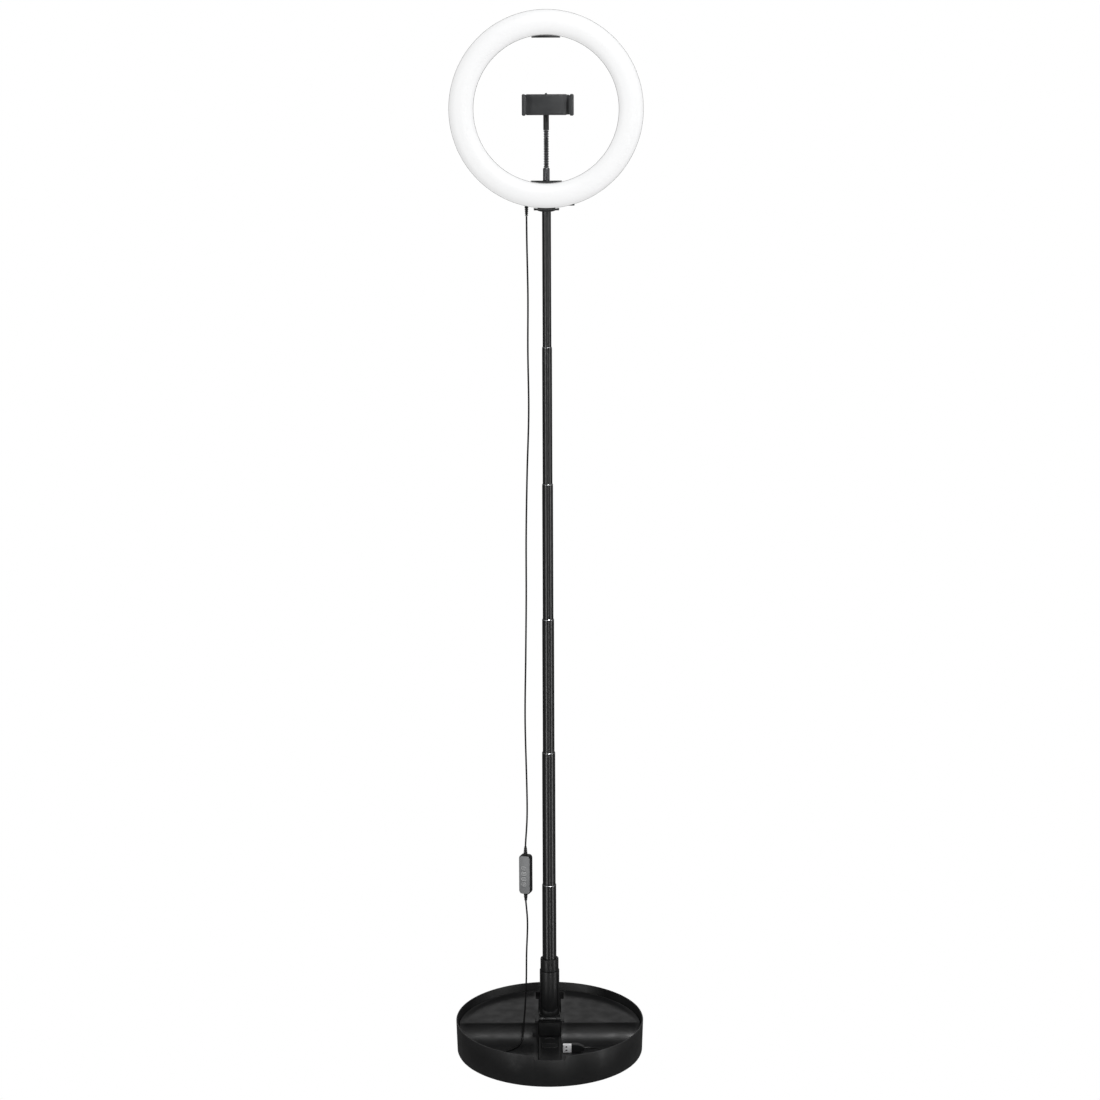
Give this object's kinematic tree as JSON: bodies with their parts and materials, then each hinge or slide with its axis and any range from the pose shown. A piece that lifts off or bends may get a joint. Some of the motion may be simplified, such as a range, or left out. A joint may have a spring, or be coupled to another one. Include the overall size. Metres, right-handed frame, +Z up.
{
  "type": "ring light",
  "caption": "Ring light on a telescopic mast in a round tray base, with a phone clamp on a gooseneck in the ring and a USB lead with an inline dimmer.",
  "frame": {"origin": "on the floor, under the middle of the round base", "axes": "+Z up along the mast, -Y the way the lit face looks, +X to the right of the lit face as seen from in front"},
  "size_m": [0.2698, 0.2696, 1.4624],
  "materials": {
    "black_plastic": "fine moulded texture",
    "satin_plastic": "satin",
    "black_enamel": "gloss black",
    "steel": "brushed",
    "raw_steel": "rough",
    "opal": "opal satin",
    "board": "satin",
    "rubber": "matte",
    "grey_plastic": "satin",
    "cord": "satin"
  },
  "bodies": {
    "base": {"base_pan": "black_plastic", "tray": "black_plastic", "rail": "black_plastic", "ballast_left": "raw_steel", "ballast_right": "raw_steel", "rubber_foot": "rubber", "latch_spring": "steel", "cord_landing": "cord", "cord_coil": "cord", "cord_tail": "cord", "plug_shell": "steel", "plug_grip": "black_plastic"},
    "latch": {"latch_button": "satin_plastic"},
    "carriage": {"carriage_block": "black_plastic", "carriage_flange": "black_plastic", "hinge_pin": "steel"},
    "post": {"hinge_foot": "black_plastic", "socket": "black_plastic", "mast_tube_1": "black_enamel", "switch_front": "grey_plastic", "switch_back": "black_plastic", "switch_board": "board", "switch_relief_top": "rubber", "switch_relief_low": "rubber", "cord_lower": "cord"},
    "collar": {"clamp_collar": "satin_plastic"},
    "mast_2": {"mast_tube_2": "black_enamel", "cord_upper_6": "cord"},
    "mast_3": {"mast_tube_3": "black_enamel", "cord_upper_5": "cord"},
    "mast_4": {"mast_tube_4": "black_enamel", "cord_upper_4": "cord"},
    "mast_5": {"mast_tube_5": "black_enamel", "cord_upper_3": "cord"},
    "head": {"mast_tube_6": "black_enamel", "head_bracket": "black_plastic", "tilt_bolt": "steel", "cord_upper_2": "cord"},
    "knob": {"tilt_knob": "black_plastic"},
    "ring": {"diffuser": "opal", "rear_housing": "black_plastic", "led_board": "board", "housing_screw_1": "steel", "housing_screw_2": "steel", "accessory_boss": "black_plastic", "arm_boss": "black_plastic", "gland_relief": "rubber", "arm_ferrule": "black_enamel", "cord_upper_1": "cord"},
    "neck": {"gooseneck": "black_enamel", "arm_sleeve": "satin_plastic"},
    "ball": {"ball_nut": "satin_plastic"},
    "holder": {"holder_plate": "satin_plastic", "jaw_left": "satin_plastic"},
    "jaw": {"jaw_right": "satin_plastic"},
    "key_power": {"key_power": "grey_plastic"},
    "key_brighter": {"key_brighter": "grey_plastic"},
    "key_dimmer": {"key_dimmer": "grey_plastic"},
    "key_colour": {"key_colour": "grey_plastic"}
  },
  "joints": [
    {"name": "carriage_slide", "type": "slide", "parent": "base", "child": "carriage", "axis": [0, -1, 0], "range_m": [-0.104, 0], "deforming": ["cord_landing"]},
    {"name": "latch_press", "type": "slide", "parent": "base", "child": "latch", "axis": [0, 0, -1], "range_m": [0, 0.002], "stiffness_N_per_m": 500, "springref_m": -0.001},
    {"name": "mast_fold", "type": "hinge", "parent": "carriage", "child": "post", "pos_m": [0, -0.0155, 0.0512], "axis": [-1, 0, 0], "range_deg": [-90, 0], "deforming": ["cord_lower"]},
    {"name": "collar_twist", "type": "hinge", "parent": "post", "child": "collar", "pos_m": [0, 0, 0.13], "axis": [0, 0, 1], "range_deg": [0, 60]},
    {"name": "mast_2_slide", "type": "slide", "parent": "post", "child": "mast_2", "axis": [0, 0, 1], "range_m": [-0.165, 0], "deforming": ["cord_upper_6"]},
    {"name": "mast_3_slide", "type": "slide", "parent": "mast_2", "child": "mast_3", "axis": [0, 0, 1], "range_m": [-0.165, 0], "deforming": ["cord_upper_5"]},
    {"name": "mast_4_slide", "type": "slide", "parent": "mast_3", "child": "mast_4", "axis": [0, 0, 1], "range_m": [-0.165, 0], "deforming": ["cord_upper_4"]},
    {"name": "mast_5_slide", "type": "slide", "parent": "mast_4", "child": "mast_5", "axis": [0, 0, 1], "range_m": [-0.165, 0], "deforming": ["cord_upper_3"]},
    {"name": "mast_6_slide", "type": "slide", "parent": "mast_5", "child": "head", "axis": [0, 0, 1], "range_m": [-0.14, 0], "deforming": ["cord_upper_2"]},
    {"name": "ring_tilt", "type": "hinge", "parent": "head", "child": "ring", "pos_m": [0, 0.023, 1.216], "axis": [1, 0, 0], "range_deg": [-180, 0], "deforming": ["cord_upper_1"]},
    {"name": "knob_turn", "type": "hinge", "parent": "head", "child": "knob", "pos_m": [0.03, 0.023, 1.216], "axis": [1, 0, 0], "range_deg": [0, 180]},
    {"name": "neck_bend", "type": "hinge", "parent": "ring", "child": "neck", "pos_m": [0, 0, 1.2806], "axis": [-1, 0, 0], "range_deg": [-60, 20], "deforming": ["gooseneck"]},
    {"name": "holder_tilt", "type": "hinge", "parent": "neck", "child": "ball", "pos_m": [0, 0, 1.3382], "axis": [1, 0, 0], "range_deg": [-15, 15]},
    {"name": "holder_turn", "type": "hinge", "parent": "ball", "child": "holder", "pos_m": [0, -0.008, 1.3382], "axis": [0, 1, 0], "range_deg": [-90, 0]},
    {"name": "jaw_slide", "type": "slide", "parent": "holder", "child": "jaw", "axis": [1, 0, 0], "range_m": [0, 0.024], "stiffness_N_per_m": 120, "springref_m": -0.01},
    {"name": "press_power", "type": "slide", "parent": "post", "child": "key_power", "axis": [0.342, 0.9397, 0], "range_m": [0, 0.0007], "stiffness_N_per_m": 800, "springref_m": -0.0004},
    {"name": "press_brighter", "type": "slide", "parent": "post", "child": "key_brighter", "axis": [0.342, 0.9397, 0], "range_m": [0, 0.0007], "stiffness_N_per_m": 800, "springref_m": -0.0004},
    {"name": "press_dimmer", "type": "slide", "parent": "post", "child": "key_dimmer", "axis": [0.342, 0.9397, 0], "range_m": [0, 0.0007], "stiffness_N_per_m": 800, "springref_m": -0.0004},
    {"name": "press_colour", "type": "slide", "parent": "post", "child": "key_colour", "axis": [0.342, 0.9397, 0], "range_m": [0, 0.0007], "stiffness_N_per_m": 800, "springref_m": -0.0004}
  ]
}
